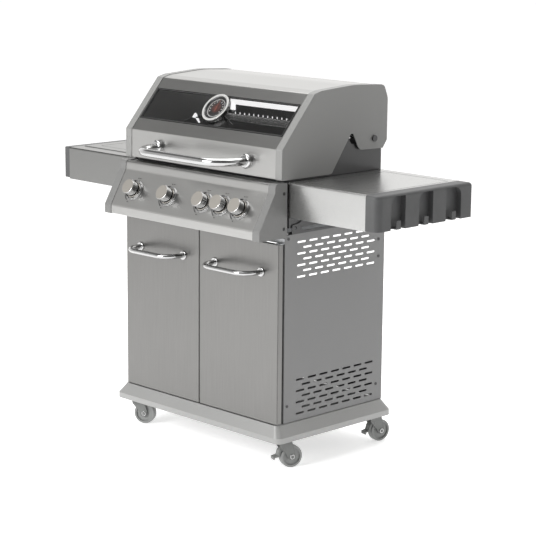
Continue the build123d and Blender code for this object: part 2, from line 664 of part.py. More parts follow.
# Frame behind the pane's edge, which holds it to the inside of the skin
with BuildPart() as glass_seal:
    with BuildSketch(window_plane(0, (WINDOW_A0 + WINDOW_A1) / 2, out=-1.0 - GLASS_T)):
        Rectangle(2 * WINDOW_X + 6, WINDOW_A1 - WINDOW_A0 + 12)
        Rectangle(2 * WINDOW_X - 14, WINDOW_A1 - WINDOW_A0 - 14, mode=Mode.SUBTRACT)
    extrude(amount=-2)
    with BuildSketch(window_plane(0, (WINDOW_A0 + WINDOW_A1) / 2, out=-HOOD_IN - SHEET)):
        Rectangle(2 * WINDOW_X + 6, WINDOW_A1 - WINDOW_A0 + 12)
        Rectangle(2 * WINDOW_X + 2.4, WINDOW_A1 - WINDOW_A0 + 1.2, mode=Mode.SUBTRACT)
    extrude(amount=-(1.0 + GLASS_T - HOOD_IN - SHEET) - 0.5)
save(glass_seal.part, "glass_seal")

HANDLE_FACE_Y = -225.85 + HOOD_IN
hood_handle = bow_handle(6, 936.5, HANDLE_FACE_Y, 202, 112, 86, 12.5, 23, 16)
save(hood_handle, "hood_handle")

GAUGE_ALONG = 109.5
GAUGE_R = 50.0
GAUGE_OUT = 14.0
with BuildPart() as thermometer_housing:
    with BuildSketch(window_plane(0, GAUGE_ALONG, out=-0.8)):
        Circle(GAUGE_R - 3)
    extrude(amount=GAUGE_OUT - 2)
    with BuildSketch(window_plane(0, GAUGE_ALONG, out=3)):
        Circle(GAUGE_R)
    extrude(amount=GAUGE_OUT - 3)
    with BuildSketch(window_plane(0, GAUGE_ALONG, out=GAUGE_OUT - 6)):
        Circle(GAUGE_R - 5)
    extrude(amount=10, mode=Mode.SUBTRACT)
    # collar and stem through the pane, clamped by a nut behind it
    with BuildSketch(window_plane(0, GAUGE_ALONG, out=-0.5)):
        Circle(20)
    extrude(amount=-8)
    with BuildSketch(window_plane(0, GAUGE_ALONG, out=-6)):
        RegularPolygon(28, 6)
    extrude(amount=-5)
    with BuildSketch(window_plane(0, GAUGE_ALONG, out=-10)):
        Circle(3.5)
    extrude(amount=-70)
    # centre pin for the needle
    with BuildSketch(window_plane(0, GAUGE_ALONG, out=GAUGE_OUT - 6.5)):
        Circle(2)
    extrude(amount=3.3)
save(thermometer_housing.part, "thermometer_housing")

with BuildPart() as thermometer_lens:
    with BuildSketch(window_plane(0, GAUGE_ALONG, out=GAUGE_OUT - 2.2)):
        Circle(GAUGE_R - 5.1)
    extrude(amount=1.4)
save(thermometer_lens.part, "thermometer_lens")

with BuildPart() as thermometer_needle:
    with BuildSketch(window_plane(0, GAUGE_ALONG, out=GAUGE_OUT - 5)):
        with BuildLine():
            Polyline((-1.6, -10), (-0.5, 30), (0.5, 30), (1.6, -10), close=True)
        make_face()
        Circle(4.5)
        Circle(2.05, mode=Mode.SUBTRACT)
    extrude(amount=1)
save(thermometer_needle.part, "thermometer_needle")

# ---------------------------------------------------------------- left shelf and side burner
LEFT_IN, LEFT_OUT = -351.0, -684.0
LEFT_END_X = -710.0
PAN_X0, PAN_X1 = -674.0, -374.0
PAN_Y0, PAN_Y1 = -149.0, 196.0
PAN_Z = 830.0
LID_X0, LID_X1 = -668.0, -380.0
LID_Y0, LID_Y1 = -143.0, 187.0
LID_PIVOT_Y, LID_PIVOT_Z = 180.0, 879.0
LID_PIN_R = 2.5

with BuildPart() as shelf_left_top:
    span_box(LEFT_OUT, LEFT_IN, SHELF_FRONT, SHELF_REAR, 779, WORKTOP_Z)
    fillet(shelf_left_top.edges().filter_by(Axis.X).group_by(Axis.Z)[-1], radius=6)
    span_box(LEFT_OUT - 1, LEFT_IN - SHEET, SHELF_FRONT + SHEET, SHELF_REAR - SHEET, 770, WORKTOP_Z - SHEET, mode=Mode.SUBTRACT)
    span_box(PAN_X0 + 3, PAN_X1 - 3, PAN_Y0 + 3, PAN_Y1 - 3, 880, 890, mode=Mode.SUBTRACT)
save(shelf_left_top.part, "shelf_left_top")

with BuildPart() as shelf_left_cap:
    span_box(LEFT_END_X, LEFT_OUT, SHELF_FRONT, SHELF_REAR, 783, WORKTOP_Z)
    outer = shelf_left_cap.edges().filter_by(Axis.Z).group_by(Axis.X)[0]
    fillet(outer, radius=5)
    fillet(shelf_left_cap.faces().sort_by(Axis.Z)[-1].edges().filter_by(lambda e: e.center().X < LEFT_OUT - 1), radius=4)
    with BuildSketch(Plane.XY.offset(782)) as left_hollow:
        with Locations(((LEFT_OUT + LEFT_END_X) / 2, (SHELF_FRONT + SHELF_REAR) / 2)):
            Rectangle(LEFT_OUT - LEFT_END_X - 6, SHELF_REAR - SHELF_FRONT - 6)
        fillet(left_hollow.vertices().group_by(Axis.X)[0], radius=3)
    extrude(amount=WORKTOP_Z - 782 - 9, mode=Mode.SUBTRACT)
save(shelf_left_cap.part, "shelf_left_cap")

with BuildPart() as side_burner_pan:
    top = WORKTOP_Z - SHEET
    span_box(PAN_X0, PAN_X1, PAN_Y0, PAN_Y1, PAN_Z, top)
    span_box(PAN_X0 + 1.5, PAN_X1 - 1.5, PAN_Y0 + 1.5, PAN_Y1 - 1.5, PAN_Z + 1.5, top + 1, mode=Mode.SUBTRACT)
    span_box(PAN_X0 - 6, PAN_X0 + 1, PAN_Y0, PAN_Y1, top - 1.5, top)
    span_box(PAN_X1 - 1, PAN_X1 + 6, PAN_Y0, PAN_Y1, top - 1.5, top)
    with BuildSketch(Plane.YZ.offset(PAN_X0 - 20)):
        with Locations((LID_PIVOT_Y, LID_PIVOT_Z)):
            Circle(LID_PIN_R + 0.05)
    extrude(amount=400, mode=Mode.SUBTRACT)
    with Locations(((PAN_X0 + PAN_X1) / 2, 20, PAN_Z)):
        Cylinder(20, 10, mode=Mode.SUBTRACT)
save(side_burner_pan.part, "side_burner_pan")

SIDE_X, SIDE_Y = (PAN_X0 + PAN_X1) / 2, 20.0
with BuildPart() as side_burner_head:
    with BuildSketch(Plane.XY.offset(PAN_Z + 1.5)):
        with Locations((SIDE_X, SIDE_Y)):
            Circle(34)
    extrude(amount=7)
    with BuildSketch(Plane.XY.offset(PAN_Z + 8)):
        with Locations((SIDE_X, SIDE_Y)):
            Circle(27)
    extrude(amount=10)
    with BuildSketch(Plane.XY.offset(PAN_Z + 18)):
        with Locations((SIDE_X, SIDE_Y)):
            Circle(30)
    extrude(amount=5)
    # mixing tube that runs down and across to the shelf's inner side
    with BuildSketch(Plane.XY.offset(PAN_Z - 30)):
        with Locations((SIDE_X, SIDE_Y)):
            Circle(12)
    extrude(amount=33)
    with BuildSketch(Plane.YZ.offset(SIDE_X - 12)):
        with Locations((SIDE_Y, PAN_Z - 28)):
            Circle(10)
    extrude(amount=140)
    with BuildSketch(Plane.XY.offset(PAN_Z + 10)):
        with Locations((SIDE_X, SIDE_Y)):
            with PolarLocations(28, 20):
                Rectangle(5, 2.2)
    extrude(amount=6, mode=Mode.SUBTRACT)
save(side_burner_head.part, "side_burner_head")

with BuildPart() as side_burner_trivet:
    for offset_y in (-36, 36):
        span_box(PAN_X0 + 2, PAN_X1 - 2, SIDE_Y + offset_y - 3, SIDE_Y + offset_y + 3, 864, 871)
    for offset_x in (-36, 36):
        span_box(SIDE_X + offset_x - 3, SIDE_X + offset_x + 3, PAN_Y0 + 20, PAN_Y1 - 28, 864, 871)
    for end_y in (PAN_Y0 + 20, PAN_Y1 - 28):
        span_box(PAN_X0 + 2, PAN_X1 - 2, end_y - 3, end_y + 3, 864, 871)
        for side in (-1, 1):
            leg = SIDE_X + side * 140
            span_box(leg - 3, leg + 3, end_y - 3, end_y + 3, PAN_Z + 1.5, 866)
save(side_burner_trivet.part, "side_burner_trivet")

with BuildPart() as side_burner_lid:
    span_box(LID_X0, LID_X1, LID_Y0, LID_Y1, 873, WORKTOP_Z + 2)
    fillet(side_burner_lid.edges().group_by(Axis.Z)[-1], radius=2.5)
    span_box(LID_X0 + SHEET, LID_X1 - SHEET, LID_Y0 + SHEET, LID_Y1 - SHEET, 870, WORKTOP_Z + 2 - SHEET, mode=Mode.SUBTRACT)
    for x0, x1 in ((PAN_X0 - 3, LID_X0 + 1), (LID_X1 - 1, PAN_X1 + 3)):
        with BuildSketch(Plane.YZ.offset(x0)):
            with Locations((LID_PIVOT_Y, LID_PIVOT_Z)):
                Circle(LID_PIN_R)
        extrude(amount=x1 - x0)
save(side_burner_lid.part, "side_burner_lid")

# ---------------------------------------------------------------- right shelf
RIGHT_IN, RIGHT_OUT = 351.0, 661.0
with BuildPart() as shelf_right_top:
    span_box(RIGHT_IN, RIGHT_OUT, SHELF_FRONT, SHELF_REAR, 779, WORKTOP_Z)
    fillet(shelf_right_top.edges().filter_by(Axis.X).group_by(Axis.Z)[-1], radius=6)
    span_box(RIGHT_IN + SHEET, RIGHT_OUT + 1, SHELF_FRONT + SHEET, SHELF_REAR - SHEET, 770, WORKTOP_Z - SHEET, mode=Mode.SUBTRACT)
save(shelf_right_top.part, "shelf_right_top")

RECESSES = ((-139.6, -77.5), (-19.3, 42.6), (100.4, 168.9))
RECESS_DEPTH = 19.0
RECESS_TOP = 878.0
CAP_LOW = 781.0
with BuildPart() as shelf_right_cap:
    span_box(RIGHT_OUT, SHELF_END_X, SHELF_FRONT, SHELF_REAR, CAP_LOW, WORKTOP_Z)
    outer_edges = shelf_right_cap.edges().filter_by(Axis.Z).group_by(Axis.X)[-1].sort_by(Axis.Y)
    fillet(outer_edges[0], radius=22)
    fillet(outer_edges[-1], radius=6)
    top_edges = shelf_right_cap.faces().sort_by(Axis.Z)[-1].edges()
    fillet(top_edges.filter_by(lambda e: e.center().X > RIGHT_OUT + 1), radius=10)
    with BuildSketch(Plane.XY.offset(CAP_LOW - 1)) as right_hollow:
        with Locations(((RIGHT_OUT + SHELF_END_X) / 2, (SHELF_FRONT + SHELF_REAR) / 2)):
            Rectangle(SHELF_END_X - RIGHT_OUT - 6, SHELF_REAR - SHELF_FRONT - 6)
        fillet(right_hollow.vertices().group_by(Axis.X)[-1].sort_by(Axis.Y)[0], radius=18)
    extrude(amount=WORKTOP_Z - CAP_LOW + 1 - 11, mode=Mode.SUBTRACT)
    # three tool recesses: boxes with their own wall, each with a hook at its foot
    for y0, y1 in RECESSES:
        x_back = SHELF_END_X - RECESS_DEPTH
        span_box(x_back - 3, SHELF_END_X - 2, y0 - 3, y1 + 3, CAP_LOW, RECESS_TOP + 3)
        with BuildSketch(Plane.YZ.offset(x_back)) as recess:
            with Locations(((y0 + y1) / 2, (CAP_LOW - 5 + RECESS_TOP) / 2)):
                Rectangle(y1 - y0, RECESS_TOP - CAP_LOW + 5)
            fillet(recess.vertices().group_by(Axis.Y)[-1].sort_by(Axis.Z)[-1], radius=26)
        extrude(amount=RECESS_DEPTH + 5, mode=Mode.SUBTRACT)
        hook = (y0 + y1) / 2 + 4
        span_box(x_back - 1, SHELF_END_X - 1, hook - 9.5, hook + 9.5, CAP_LOW, CAP_LOW + 3)
        span_box(SHELF_END_X - 4, SHELF_END_X - 1, hook - 9.5, hook + 9.5, CAP_LOW, 806)
save(shelf_right_cap.part, "shelf_right_cap")

# ---------------------------------------------------------------- screws
with BuildPart() as screws:
    for y, z in ((-191, 714), (206, 666), (207, 612), (206, 200), (-191, 200)):
        with BuildSketch(Plane.YZ.offset(BODY_X)):
            with Locations((y, z)):
                Circle(4.5)
        extrude(amount=1.8)
    mirror(about=Plane.YZ)
save(screws.part, "screws")

# ---------------------------------------------------------------- casters
PLATE_R = 30.0
FORK_TOP = FLOOR_Z - 6.0
AXLE_R = 4.0
WHEEL_W = 24.0
STEM_R = 5.0

with BuildPart() as caster_plates:
    for x, y, heading in CASTERS.values():
        with BuildSketch(Plane.XY.offset(FLOOR_Z - 3)):
            with Locations((x, y)):
                Circle(PLATE_R)
        extrude(amount=3)
        with BuildSketch(Plane.XY.offset(FORK_TOP - 1)):
            with Locations((x, y)):
                Circle(15)
        extrude(amount=4)
        with BuildSketch(Plane.XY.offset(FORK_TOP - 8)):
            with Locations((x, y)):
                Circle(STEM_R)
        extrude(amount=12)
save(caster_plates.part, "caster_plates")


BRAKE_D, BRAKE_Z = 3.0, 72.0  # pivot of the brake lever, along the trail and up
BRAKE_PIN_R = 2.0
BRAKE_HALF = 11.0  # half width of the brake lever


def trail_profile(points, corners, inner, outer, hole=None):
    """Plate drawn on the vertical plane through the stem, with the trail along its x, between two offsets."""
    with BuildPart() as plate:
        with BuildSketch(Plane.XZ.offset(-outer)):
            with BuildLine():
                FilletPolyline(*points, radius=corners, close=True)
            make_face()
            if hole:
                with Locations(hole[:2]):
                    Circle(hole[2], mode=Mode.SUBTRACT)
        extrude(amount=outer - inner)
    return plate.part


FORK_IN, FORK_OUT = 13.5, 16.0
CHEEK = [
    (-13, FORK_TOP - 1.5),
    (-9, 74),
    (12, 51),
    (20, AXLE_Z - 10),
    (40, AXLE_Z - 10),
    (40, AXLE_Z + 8),
    (30, FORK_TOP - 1.5),
]
with BuildPart() as fork:
    for inner, outer in ((FORK_IN, FORK_OUT), (-FORK_OUT, -FORK_IN)):
        add(trail_profile(CHEEK, [1, 4, 8, 9, 9, 8, 1], inner, outer))
    span_box(-13.5, 30, -FORK_OUT, FORK_OUT, FORK_TOP - 4, FORK_TOP - 1.3)
    with Locations((0, 0, FORK_TOP)):
        Cylinder(STEM_R + 0.06, 20, mode=Mode.SUBTRACT)
    with Locations(Location((TRAIL, 0, AXLE_Z), (90, 0, 0))):
        Cylinder(AXLE_R, 2 * FORK_OUT + 7)
    with Locations(Location((BRAKE_D, 0, BRAKE_Z), (90, 0, 0))):
        Cylinder(BRAKE_PIN_R, 2 * FORK_OUT + 2)

with BuildPart() as wheel:
    with BuildSketch(Plane.XY):
        Circle(WHEEL_R)
    extrude(amount=WHEEL_W / 2, both=True)
    fillet(wheel.edges().filter_by(GeomType.CIRCLE), radius=4)
    for z in (-WHEEL_W / 2, WHEEL_W / 2):
        with BuildSketch(Plane.XY.offset(z)):
            Circle(WHEEL_R - 8)
            Circle(11, mode=Mode.SUBTRACT)
        extrude(amount=-4 if z > 0 else 4, mode=Mode.SUBTRACT)
    Cylinder(AXLE_R + 0.06, WHEEL_W + 2, mode=Mode.SUBTRACT)

# Foot lever that hangs on a pin at the front of the fork, in front of the wheel
LEVER = [
    (6, BRAKE_Z + 4),
    (-2, BRAKE_Z + 3),
    (-11, 64),
    (-15, 50),
    (-30, 46),
    (-29, 37),
    (-26, 37),
    (-25, 43),
    (-10, 45),
    (-5, 61),
    (6, BRAKE_Z - 1.5),
]
lever_corners = [2, 3, 3, 3, 2, 0.5, 0.5, 2, 3, 3, 2]
pin_bore = (BRAKE_D, BRAKE_Z, BRAKE_PIN_R + 0.06)
brake = trail_profile(LEVER, lever_corners, -BRAKE_HALF, BRAKE_HALF, pin_bore)

for name, (x, y, heading) in CASTERS.items():
    place = Location((x, y, 0), (0, 0, heading))
    axle = Location((TRAIL, 0, AXLE_Z), (90, 0, 0))
    save(fork.part.moved(place), f"caster_fork_{name}")
    save(wheel.part.moved(place * axle), f"caster_wheel_{name}")
    if name.endswith("right"):
        save(brake.moved(place), f"caster_brake_{name}")
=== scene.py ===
"""Looks of the four-burner gas barbecue grill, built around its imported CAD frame."""

import math

import bmesh
import bpy
from mathutils import Matrix, Vector


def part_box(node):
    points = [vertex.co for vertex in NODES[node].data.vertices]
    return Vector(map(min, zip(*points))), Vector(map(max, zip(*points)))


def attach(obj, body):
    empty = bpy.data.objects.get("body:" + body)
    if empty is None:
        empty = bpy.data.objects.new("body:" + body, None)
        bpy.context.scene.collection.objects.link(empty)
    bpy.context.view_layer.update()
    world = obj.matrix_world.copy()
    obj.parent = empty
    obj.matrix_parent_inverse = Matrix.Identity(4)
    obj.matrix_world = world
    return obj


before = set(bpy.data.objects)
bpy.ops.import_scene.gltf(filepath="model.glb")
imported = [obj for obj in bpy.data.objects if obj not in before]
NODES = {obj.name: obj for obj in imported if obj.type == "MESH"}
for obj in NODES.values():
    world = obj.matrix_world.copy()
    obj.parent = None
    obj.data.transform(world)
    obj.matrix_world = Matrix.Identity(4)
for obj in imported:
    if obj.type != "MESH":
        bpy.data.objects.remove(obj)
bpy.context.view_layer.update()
scene = bpy.context.scene
scene.view_settings.view_transform = "Standard"
scene.view_settings.look = "None"

# ---------------------------------------------------------------- camera
AZIMUTH, ELEVATION, ROLL = (math.radians(a) for a in (45.61, 11.40, 0.47))
CAMERA_AT = Vector((4.12476, -3.92956, 1.69564))
LENS_MM, SENSOR_MM = 123.05, 36.0
level = Vector((math.cos(AZIMUTH), math.sin(AZIMUTH), 0.0))
flat_back = Vector((math.sin(AZIMUTH), -math.cos(AZIMUTH), 0.0))
back = flat_back * math.cos(ELEVATION) + Vector((0.0, 0.0, math.sin(ELEVATION)))
upright = back.cross(level)
cam_x = level * math.cos(ROLL) + upright * math.sin(ROLL)
cam_y = upright * math.cos(ROLL) - level * math.sin(ROLL)
camera = bpy.data.objects.new("camera", bpy.data.cameras.new("camera"))
scene.collection.objects.link(camera)
camera.data.lens = LENS_MM
camera.data.sensor_width = SENSOR_MM
camera.data.clip_end = 100.0
camera.matrix_world = Matrix.Translation(CAMERA_AT) @ Matrix((cam_x, cam_y, back)).transposed().to_4x4()
scene.camera = camera


# ---------------------------------------------------------------- slopes, as normals towards the user
PANEL_SLOPE = math.atan2(0.109, 0.063)
WINDOW_SLOPE = math.atan2(0.1563, 0.134)
PANEL_NORMAL = Vector((0.0, -math.sin(PANEL_SLOPE), math.cos(PANEL_SLOPE)))
WINDOW_NORMAL = Vector((0.0, -math.sin(WINDOW_SLOPE), math.cos(WINDOW_SLOPE)))


# ---------------------------------------------------------------- material kit
class Mat:
    """A node material with a Principled shader and short calls for its procedural inputs."""

    def __init__(self, name, **values):
        self.m = bpy.data.materials.new(name)
        self.m.use_nodes = True
        self.t = self.m.node_tree
        self.p = self.t.nodes["Principled BSDF"]
        self.tc = self.node("ShaderNodeTexCoord")
        for key, value in values.items():
            self.set(key, value)

    def node(self, kind, **props):
        n = self.t.nodes.new(kind)
        for key, value in props.items():
            setattr(n, key, value)
        return n

    def set(self, key, value):
        name = key.replace("_", " ")
        for s in self.p.inputs:
            if s.name.lower() == name:
                if s.type == "RGBA":
                    value = (*value[:3], 1.0)
                s.default_value = value
                return
        raise KeyError(key)

    def link(self, a, b):
        self.t.links.new(a, b)

    def space(self, scale=(1, 1, 1)):
        """Object coordinates in metres, scaled along each axis."""
        n = self.node("ShaderNodeMapping")
        n.inputs["Scale"].default_value = scale
        self.link(self.tc.outputs["Object"], n.inputs["Vector"])
        return n.outputs["Vector"]

    def noise(self, scale, vector=None, detail=4.0, rough=0.55, distortion=0.0):
        n = self.node("ShaderNodeTexNoise")
        n.inputs["Scale"].default_value = scale
        n.inputs["Detail"].default_value = detail
        n.inputs["Roughness"].default_value = rough
        n.inputs["Distortion"].default_value = distortion
        self.link(vector or self.tc.outputs["Object"], n.inputs["Vector"])
        return n.outputs["Fac"]

    def ramp(self, fac, stops):
        n = self.node("ShaderNodeValToRGB")
        e = n.color_ramp.elements
        while len(e) < len(stops):
            e.new(0.5)
        for el, (pos, c) in zip(e, stops):
            el.position = pos
            el.color = (*c, 1.0) if hasattr(c, "__len__") else (c, c, c, 1.0)
        self.link(fac, n.inputs["Fac"])
        return n.outputs["Color"]

    def span(self, fac, lo, hi):
        n = self.node("ShaderNodeMapRange")
        n.inputs["To Min"].default_value = lo
        n.inputs["To Max"].default_value = hi
        self.link(fac, n.inputs["Value"])
        return n.outputs["Result"]

    def to(self, output, key):
        name = key.replace("_", " ")
        for s in self.p.inputs:
            if s.name.lower() == name:
                self.link(output, s)
                return self
        raise KeyError(key)

    def bump(self, height, strength=0.2, distance=0.001, edge=0.0):
        n = self.node("ShaderNodeBump")
        n.inputs["Strength"].default_value = strength
        n.inputs["Distance"].default_value = distance
        self.link(height, n.inputs["Height"])
        if edge:
            b = self.node("ShaderNodeBevel", samples=4)
            b.inputs["Radius"].default_value = edge
            self.link(b.outputs["Normal"], n.inputs["Normal"])
        self.link(n.outputs["Normal"], self.p.inputs["Normal"])
        return self


def brushed(name, along, tone, rough, grain=900.0, spread=0.05, edge=0.0008, blotch=0.04):
    """Brushed stainless: fine streaks along one axis, with slow variation over them."""
    m = Mat(name, metallic=1.0)
    stretch = [grain, grain, grain]
    stretch["xyz".index(along)] = grain / 90.0
    streaks = m.noise(1.0, m.space(stretch), detail=3.0, rough=0.6)
    slow = m.noise(3.0, detail=2.0)
    mix = m.node("ShaderNodeMix", data_type="FLOAT")
    mix.inputs["Factor"].default_value = 0.3
    m.link(streaks, mix.inputs["A"])
    m.link(slow, mix.inputs["B"])
    both = mix.outputs["Result"]
    lo = [c * (1 - blotch) for c in tone]
    hi = [min(1.0, c * (1 + blotch)) for c in tone]
    m.to(m.ramp(both, [(0.25, lo), (0.75, hi)]), "base_color")
    m.to(m.span(both, rough - spread, rough + spread), "roughness")
    m.bump(streaks, 0.06, 0.0003, edge)
    return m.m


def painted(name, tone, rough, metallic=0.0, speck=2500.0, peel=0.05, edge=0.001, coat=0.0, vary=0.05):
    """Sprayed paint: faint flake in its colour, and orange peel in its surface."""
    m = Mat(name, metallic=metallic, coat_weight=coat, coat_roughness=0.15)
    flakes = m.noise(speck, detail=1.0)
    lo = [c * (1 - vary) for c in tone]
    hi = [min(1.0, c * (1 + vary)) for c in tone]
    m.to(m.ramp(flakes, [(0.3, lo), (0.7, hi)]), "base_color")
    m.to(m.span(m.noise(9.0, detail=3.0), rough - 0.05, rough + 0.05), "roughness")
    m.bump(m.noise(700.0, detail=2.0), peel, 0.0004, edge)
    return m.m


def moulded(name, tone, rough, grain=1400.0, depth=0.25, edge=0.0012, vary=0.12):
    """Moulded plastic with a fine erosion grain."""
    m = Mat(name)
    cells = m.node("ShaderNodeTexVoronoi", feature="SMOOTH_F1")
    cells.inputs["Scale"].default_value = grain
    m.link(m.tc.outputs["Object"], cells.inputs["Vector"])
    lo = [c * (1 - vary) for c in tone]
    hi = [min(1.0, c * (1 + vary)) for c in tone]
    m.to(m.ramp(m.noise(14.0, detail=4.0), [(0.3, lo), (0.7, hi)]), "base_color")
    m.to(m.span(m.noise(40.0, detail=3.0), rough - 0.06, rough + 0.06), "roughness")
    m.bump(cells.outputs["Distance"], depth, 0.0004, edge)
    return m.m


def polished(name, tone, rough, edge=0.0005):
    """Chrome: nearly clean, with faint haze."""
    m = Mat(name, metallic=1.0)
    haze = m.noise(25.0, detail=4.0)
    m.to(m.ramp(haze, [(0.3, [c * 0.97 for c in tone]), (0.7, tone)]), "base_color")
    m.to(m.span(haze, rough * 0.6, rough * 1.4), "roughness")
    m.bump(m.noise(300.0, detail=2.0), 0.02, 0.0002, edge)
    return m.m


def rough_iron(name, tone, rough, depth=0.5):
    """Enamelled cast iron."""
    m = Mat(name)
    lo = [c * 0.7 for c in tone]
    hi = [c * 1.4 for c in tone]
    m.to(m.ramp(m.noise(60.0, detail=6.0), [(0.3, lo), (0.75, hi)]), "base_color")
    m.to(m.span(m.noise(120.0, detail=4.0), rough - 0.1, rough + 0.1), "roughness")
    m.bump(m.noise(900.0, detail=5.0), depth, 0.0008, 0.0012)
    return m.m


def pane(name, tone, rough, ior=1.5):
    """Glass that darkens what is behind it: a transparent surface with a faint tint and ripple."""
    m = Mat(name, roughness=rough, ior=ior)
    m.set("transmission_weight", 1.0)
    m.to(m.ramp(m.noise(6.0, detail=2.0), [(0.3, [c * 0.97 for c in tone]), (0.7, tone)]), "base_color")
    m.bump(m.noise(4.0, detail=1.0), 0.01, 0.0003)
    return m.m


def knob_metal(name, face_tone, side_tone):
    """Satin face and polished sides, told apart by how far the surface leans from the knob's axis."""
    m = Mat(name, metallic=1.0)
    geometry = m.node("ShaderNodeNewGeometry")
    lean = m.node("ShaderNodeVectorMath", operation="DOT_PRODUCT")
    lean.inputs[1].default_value = PANEL_NORMAL
    m.link(geometry.outputs["True Normal"], lean.inputs[0])
    facing = m.node("ShaderNodeMapRange", interpolation_type="SMOOTHSTEP")
    facing.inputs["From Min"].default_value = 0.93
    facing.inputs["From Max"].default_value = 0.99
    m.link(lean.outputs["Value"], facing.inputs["Value"])
    streaks = m.noise(1.0, m.space((15, 1300, 1300)), detail=3.0)
    satin = m.ramp(streaks, [(0.25, [c * 0.94 for c in face_tone]), (0.75, face_tone)])
    tones = m.node("ShaderNodeMix", data_type="RGBA")
    m.link(facing.outputs["Result"], tones.inputs["Factor"])
    tones.inputs["A"].default_value = (*side_tone, 1.0)
    m.link(satin, tones.inputs["B"])
    m.to(tones.outputs["Result"], "base_color")
    m.to(m.span(facing.outputs["Result"], 0.10, 0.36), "roughness")
    m.bump(streaks, 0.04, 0.0002)
    return m.m


MATERIALS = {
    # The doors' brushed stainless has about half the tone of the other stainless: painted shade on the
    # doors
    "steel_door_shaded": brushed("steel_door_shaded", "z", (0.195, 0.193, 0.188), 0.33, blotch=0.10),
    "steel_x": brushed("steel_x", "x", (0.40, 0.398, 0.39), 0.30),
    "steel_y": brushed("steel_y", "y", (0.43, 0.43, 0.425), 0.28),
    # A darker copy of steel_y for the left shelf and the side burner's lid: painted shade on the left
    "steel_y_shaded_left": brushed("steel_y_shaded_left", "y", (0.24, 0.24, 0.235), 0.32),
    "panel_paint": painted("panel_paint", (0.165, 0.165, 0.162), 0.42, metallic=0.1),
    "hood_paint": painted("hood_paint", (0.225, 0.225, 0.22), 0.42, metallic=0.1),
    "side_paint": painted("side_paint", (0.20, 0.20, 0.20), 0.45, metallic=0.2),
    "base_paint": painted("base_paint", (0.33, 0.33, 0.325), 0.36, metallic=0.5),
    "enamel": painted("enamel", (0.035, 0.035, 0.036), 0.35, coat=0.3, vary=0.2),
    "black_plastic": moulded("black_plastic", (0.062, 0.063, 0.064), 0.50),
    "fork_plastic": moulded("fork_plastic", (0.17, 0.175, 0.17), 0.38),
    "wheel_plastic": moulded("wheel_plastic", (0.25, 0.255, 0.25), 0.40),
    "chrome": polished("chrome", (0.48, 0.48, 0.48), 0.13),
    "zinc": brushed("zinc", "x", (0.45, 0.46, 0.47), 0.38, grain=400.0, spread=0.1, blotch=0.15),
    "iron": rough_iron("iron", (0.03, 0.03, 0.031), 0.5),
    "tinted_glass": pane("tinted_glass", (0.95, 0.95, 0.955), 0.02),
    "clear_glass": pane("clear_glass", (0.96, 0.96, 0.97), 0.01),
    "seal": moulded("seal", (0.012, 0.012, 0.012), 0.6),
    "needle": painted("needle", (0.30, 0.07, 0.045), 0.4),
    "knob": knob_metal("knob", (0.50, 0.475, 0.435), (0.50, 0.50, 0.50)),
    "ink": painted("ink", (0.03, 0.03, 0.03), 0.5, vary=0.2),
    "dial_silver": painted("dial_silver", (0.44, 0.44, 0.43), 0.32, vary=0.03),
    "dial_black": painted("dial_black", (0.02, 0.02, 0.02), 0.4, vary=0.2),
    "dial_red": painted("dial_red", (0.09, 0.022, 0.014), 0.45, vary=0.15),
    "dial_white": painted("dial_white", (0.88, 0.88, 0.86), 0.45),
    # Dark metallic tone for the bands drawn where pressed lines are: painted shade
    "groove_shade": painted("groove_shade", (0.10, 0.10, 0.10), 0.35, metallic=0.6, vary=0.1),
}

NODE_MATERIAL = {
    "base_tray": "base_paint", "side_panel_left": "side_paint", "side_panel_right": "side_paint",
    "back_panel": "side_paint", "front_rail": "zinc", "rear_rail": "side_paint", "door_hinges": "zinc",
    "door_magnets": "black_plastic", "firebox_rails": "enamel", "firebox": "enamel",
    "panel_fascia": "steel_x", "panel_cap_left": "panel_paint", "panel_cap_right": "panel_paint",
    "gas_manifold": "zinc", "knob_bezels": "chrome", "burners": "steel_y", "flame_tamers": "steel_y",
    "cooking_grate_left": "iron", "cooking_grate_right": "iron", "warming_rack": "chrome",
    "shelf_left_top": "steel_y_shaded_left", "shelf_left_cap": "black_plastic", "side_burner_pan": "enamel",
    "side_burner_head": "iron", "side_burner_trivet": "iron", "shelf_right_top": "steel_y",
    "shelf_right_cap": "black_plastic", "hood_hinge_bolts": "enamel", "caster_plates": "black_plastic",
    "screws": "enamel", "drip_tray": "zinc", "hood_skin": "steel_x", "hood_cap_left": "hood_paint",
    "hood_cap_right": "hood_paint", "hood_glass": "tinted_glass", "glass_seal": "seal",
    "hood_handle": "chrome", "thermometer_housing": "chrome", "thermometer_lens": "clear_glass",
    "thermometer_needle": "needle", "door_left": "steel_door_shaded", "door_right": "steel_door_shaded",
    "door_handle_left": "chrome", "door_handle_right": "chrome", "side_burner_lid": "steel_y_shaded_left",
}
for name, obj in NODES.items():
    key = NODE_MATERIAL.get(name)
    if key is None:
        key = "wheel_plastic" if "wheel" in name else "fork_plastic" if "caster" in name else "knob"
    obj.data.materials.clear()
    obj.data.materials.append(MATERIALS[key])


